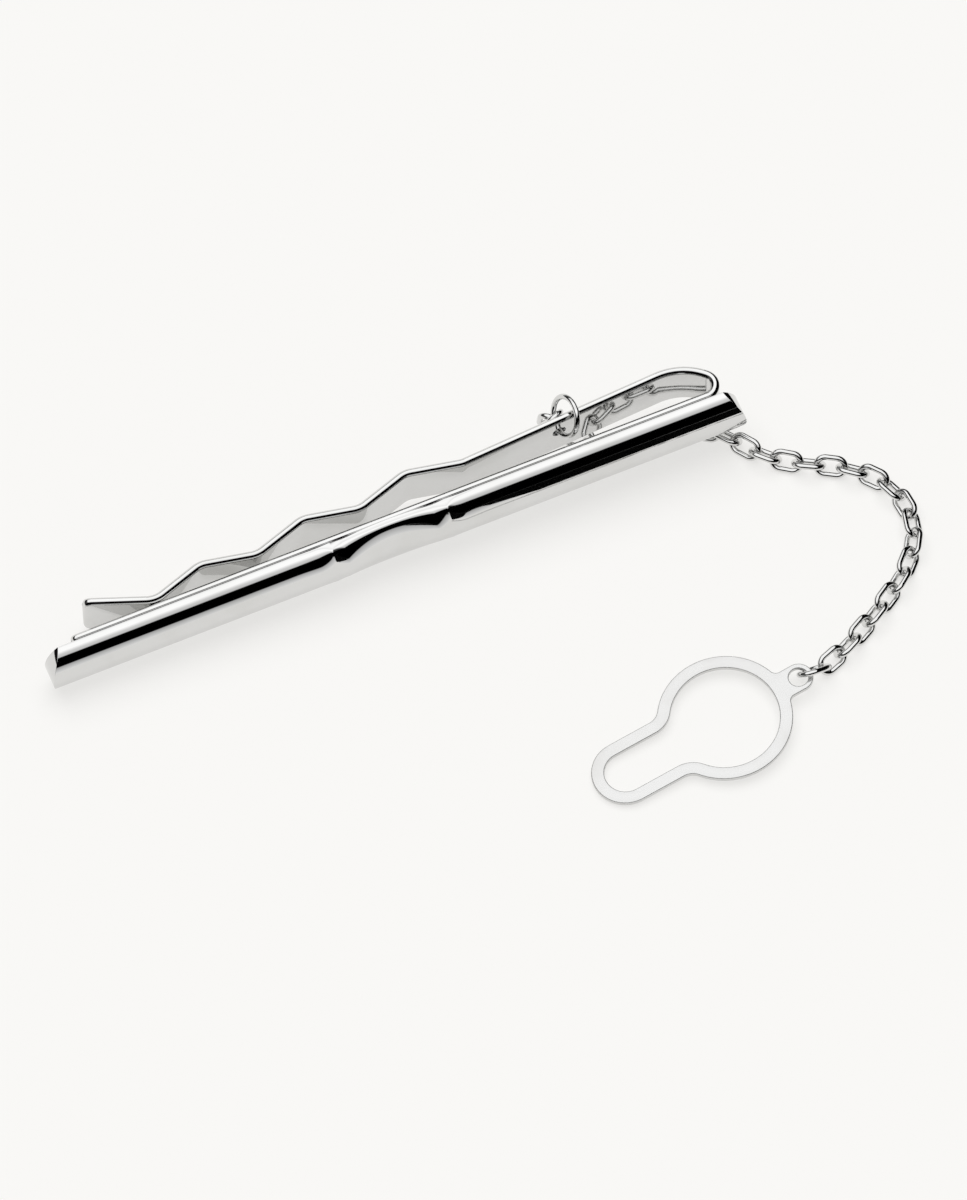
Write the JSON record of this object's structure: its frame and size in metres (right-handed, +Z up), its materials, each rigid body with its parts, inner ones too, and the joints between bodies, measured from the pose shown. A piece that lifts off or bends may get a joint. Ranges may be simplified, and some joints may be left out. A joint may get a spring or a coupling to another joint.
{
  "type": "tie clip",
  "caption": "Polished tie clip: half-round bar with a beaded middle, wavy spring strip behind it, and a cable chain to a flat keyhole loop for a shirt button.",
  "frame": {"origin": "middle of the front leg's inner face, where the tie lies", "axes": "X along the bar, Y away from the bar's front and out of the tie seat, Z up from the table on which the clip stands on its long edge; the clip is tipped 1.7 degrees about Y"},
  "size_m": [0.0761, 0.0383, 0.0084],
  "materials": {
    "polished_silver": "mirror polish",
    "satin_silver": "satin"
  },
  "bodies": {
    "clip_front": {"bar": "polished_silver", "front_leg": "polished_silver", "spring_bend": "polished_silver"},
    "rear_leg": {"rear_leg": "polished_silver"},
    "jump_ring": {"jump_ring": "polished_silver"},
    "chain_link_01": {"chain_link_01": "polished_silver"},
    "chain_link_02": {"chain_link_02": "polished_silver"},
    "chain_link_03": {"chain_link_03": "polished_silver"},
    "chain_link_04": {"chain_link_04": "polished_silver"},
    "chain_link_05": {"chain_link_05": "polished_silver"},
    "chain_link_06": {"chain_link_06": "polished_silver"},
    "chain_link_07": {"chain_link_07": "polished_silver"},
    "chain_link_08": {"chain_link_08": "polished_silver"},
    "chain_link_09": {"chain_link_09": "polished_silver"},
    "chain_link_10": {"chain_link_10": "polished_silver"},
    "chain_link_11": {"chain_link_11": "polished_silver"},
    "chain_link_12": {"chain_link_12": "polished_silver"},
    "chain_link_13": {"chain_link_13": "polished_silver"},
    "chain_link_14": {"chain_link_14": "polished_silver"},
    "chain_link_15": {"chain_link_15": "polished_silver"},
    "chain_link_16": {"chain_link_16": "polished_silver"},
    "chain_link_17": {"chain_link_17": "polished_silver"},
    "chain_link_18": {"chain_link_18": "polished_silver"},
    "chain_link_19": {"chain_link_19": "polished_silver"},
    "chain_link_20": {"chain_link_20": "polished_silver"},
    "chain_link_21": {"chain_link_21": "polished_silver"},
    "chain_link_22": {"chain_link_22": "polished_silver"},
    "chain_link_23": {"chain_link_23": "polished_silver"},
    "chain_link_24": {"chain_link_24": "polished_silver"},
    "chain_link_25": {"chain_link_25": "polished_silver"},
    "chain_link_26": {"chain_link_26": "polished_silver"},
    "chain_link_27": {"chain_link_27": "polished_silver"},
    "chain_link_28": {"chain_link_28": "polished_silver"},
    "chain_link_29": {"chain_link_29": "polished_silver"},
    "connecting_ring": {"connecting_ring": "polished_silver"},
    "button_loop": {"button_loop": "satin_silver"}
  },
  "joints": [
    {"name": "leg_spread", "type": "hinge", "parent": "clip_front", "child": "rear_leg", "pos_m": [0.02985, 0.00078, 0.00089], "axis": [0.0297, 0, -0.9996], "range_deg": [0, 8], "stiffness_Nm_per_rad": 1.5, "deforming": ["spring_bend"]},
    {"name": "ring_swing", "type": "hinge", "parent": "rear_leg", "child": "jump_ring", "pos_m": [0.01697, 0.0026, 0.00127], "axis": [0, 0, 1], "range_deg": [-4, 4]},
    {"name": "chain_link_01_turn", "type": "hinge", "parent": "jump_ring", "child": "chain_link_01", "pos_m": [0.01704, 0.00358, 0.00154], "axis": [0, 0, 1], "range_deg": [-2, 2]},
    {"name": "chain_link_02_turn", "type": "hinge", "parent": "chain_link_01", "child": "chain_link_02", "pos_m": [0.01694, 0.00435, -0.0002], "axis": [0, 0, 1], "range_deg": [-2, 2]},
    {"name": "chain_link_03_turn", "type": "hinge", "parent": "chain_link_02", "child": "chain_link_03", "pos_m": [0.0169, 0.00455, -0.00152], "axis": [0, 0, 1], "range_deg": [-2, 2]},
    {"name": "chain_link_04_turn", "type": "hinge", "parent": "chain_link_03", "child": "chain_link_04", "pos_m": [0.0184, 0.00361, -0.00284], "axis": [0, 0, 1], "range_deg": [-2, 2]},
    {"name": "chain_link_05_turn", "type": "hinge", "parent": "chain_link_04", "child": "chain_link_05", "pos_m": [0.01988, 0.00237, -0.00284], "axis": [0, 0, 1], "range_deg": [-2, 2]},
    {"name": "chain_link_06_turn", "type": "hinge", "parent": "chain_link_05", "child": "chain_link_06", "pos_m": [0.02118, 0.00093, -0.00284], "axis": [0, 0, 1], "range_deg": [-2, 3]},
    {"name": "chain_link_07_turn", "type": "hinge", "parent": "chain_link_06", "child": "chain_link_07", "pos_m": [0.02299, 0.00023, -0.00284], "axis": [0, 0, 1], "range_deg": [-2, 3]},
    {"name": "chain_link_08_turn", "type": "hinge", "parent": "chain_link_07", "child": "chain_link_08", "pos_m": [0.02493, 0.0002, -0.00284], "axis": [0, 0, 1], "range_deg": [-2, 3]},
    {"name": "chain_link_09_turn", "type": "hinge", "parent": "chain_link_08", "child": "chain_link_09", "pos_m": [0.02687, 0.00036, -0.00284], "axis": [0, 0, 1], "range_deg": [-2, 3]},
    {"name": "chain_link_10_turn", "type": "hinge", "parent": "chain_link_09", "child": "chain_link_10", "pos_m": [0.02877, -0.00001, -0.00284], "axis": [0, 0, 1], "range_deg": [-2.5, 6]},
    {"name": "chain_link_11_turn", "type": "hinge", "parent": "chain_link_10", "child": "chain_link_11", "pos_m": [0.0304, -0.00106, -0.00284], "axis": [0, 0, 1], "range_deg": [-2.5, 6]},
    {"name": "chain_link_12_turn", "type": "hinge", "parent": "chain_link_11", "child": "chain_link_12", "pos_m": [0.03162, -0.00257, -0.00284], "axis": [0, 0, 1], "range_deg": [-2.5, 6]},
    {"name": "chain_link_13_turn", "type": "hinge", "parent": "chain_link_12", "child": "chain_link_13", "pos_m": [0.03276, -0.00414, -0.00284], "axis": [0, 0, 1], "range_deg": [-2.5, 6]},
    {"name": "chain_link_14_turn", "type": "hinge", "parent": "chain_link_13", "child": "chain_link_14", "pos_m": [0.03413, -0.00551, -0.00284], "axis": [0, 0, 1], "range_deg": [-2.5, 6]},
    {"name": "chain_link_15_turn", "type": "hinge", "parent": "chain_link_14", "child": "chain_link_15", "pos_m": [0.03574, -0.0066, -0.00284], "axis": [0, 0, 1], "range_deg": [-2.5, 6]},
    {"name": "chain_link_16_turn", "type": "hinge", "parent": "chain_link_15", "child": "chain_link_16", "pos_m": [0.03745, -0.00751, -0.00284], "axis": [0, 0, 1], "range_deg": [-2.5, 6]},
    {"name": "chain_link_17_turn", "type": "hinge", "parent": "chain_link_16", "child": "chain_link_17", "pos_m": [0.03913, -0.00848, -0.00284], "axis": [0, 0, 1], "range_deg": [-2.5, 6]},
    {"name": "chain_link_18_turn", "type": "hinge", "parent": "chain_link_17", "child": "chain_link_18", "pos_m": [0.04066, -0.00967, -0.00284], "axis": [0, 0, 1], "range_deg": [-2.5, 6]},
    {"name": "chain_link_19_turn", "type": "hinge", "parent": "chain_link_18", "child": "chain_link_19", "pos_m": [0.04191, -0.01116, -0.00284], "axis": [0, 0, 1], "range_deg": [-2.5, 6]},
    {"name": "chain_link_20_turn", "type": "hinge", "parent": "chain_link_19", "child": "chain_link_20", "pos_m": [0.04267, -0.01294, -0.00284], "axis": [0, 0, 1], "range_deg": [-2.5, 6]},
    {"name": "chain_link_21_turn", "type": "hinge", "parent": "chain_link_20", "child": "chain_link_21", "pos_m": [0.04287, -0.01487, -0.00284], "axis": [0, 0, 1], "range_deg": [-2.5, 6]},
    {"name": "chain_link_22_turn", "type": "hinge", "parent": "chain_link_21", "child": "chain_link_22", "pos_m": [0.04247, -0.01677, -0.00284], "axis": [0, 0, 1], "range_deg": [-2.5, 6]},
    {"name": "chain_link_23_turn", "type": "hinge", "parent": "chain_link_22", "child": "chain_link_23", "pos_m": [0.04152, -0.01847, -0.00284], "axis": [0, 0, 1], "range_deg": [-2.5, 6]},
    {"name": "chain_link_24_turn", "type": "hinge", "parent": "chain_link_23", "child": "chain_link_24", "pos_m": [0.04023, -0.01991, -0.00284], "axis": [0, 0, 1], "range_deg": [-2.5, 6]},
    {"name": "chain_link_25_turn", "type": "hinge", "parent": "chain_link_24", "child": "chain_link_25", "pos_m": [0.03872, -0.02113, -0.00284], "axis": [0, 0, 1], "range_deg": [-2.5, 6]},
    {"name": "chain_link_26_turn", "type": "hinge", "parent": "chain_link_25", "child": "chain_link_26", "pos_m": [0.03711, -0.02221, -0.00284], "axis": [0, 0, 1], "range_deg": [-2.5, 6]},
    {"name": "chain_link_27_turn", "type": "hinge", "parent": "chain_link_26", "child": "chain_link_27", "pos_m": [0.03547, -0.02324, -0.00284], "axis": [0, 0, 1], "range_deg": [-2.5, 6]},
    {"name": "chain_link_28_turn", "type": "hinge", "parent": "chain_link_27", "child": "chain_link_28", "pos_m": [0.03379, -0.02421, -0.00284], "axis": [0, 0, 1], "range_deg": [-2.5, 6]},
    {"name": "chain_link_29_turn", "type": "hinge", "parent": "chain_link_28", "child": "chain_link_29", "pos_m": [0.03206, -0.02509, -0.00284], "axis": [0, 0, 1], "range_deg": [-2.5, 6]},
    {"name": "connecting_ring_turn", "type": "hinge", "parent": "chain_link_29", "child": "connecting_ring", "pos_m": [0.03026, -0.02582, -0.00284], "axis": [0, 0, 1], "range_deg": [-6, 8]},
    {"name": "button_loop_turn", "type": "hinge", "parent": "connecting_ring", "child": "button_loop", "pos_m": [0.02791, -0.02611, -0.00207], "axis": [0, 0, 1], "range_deg": [-8, 8]}
  ]
}
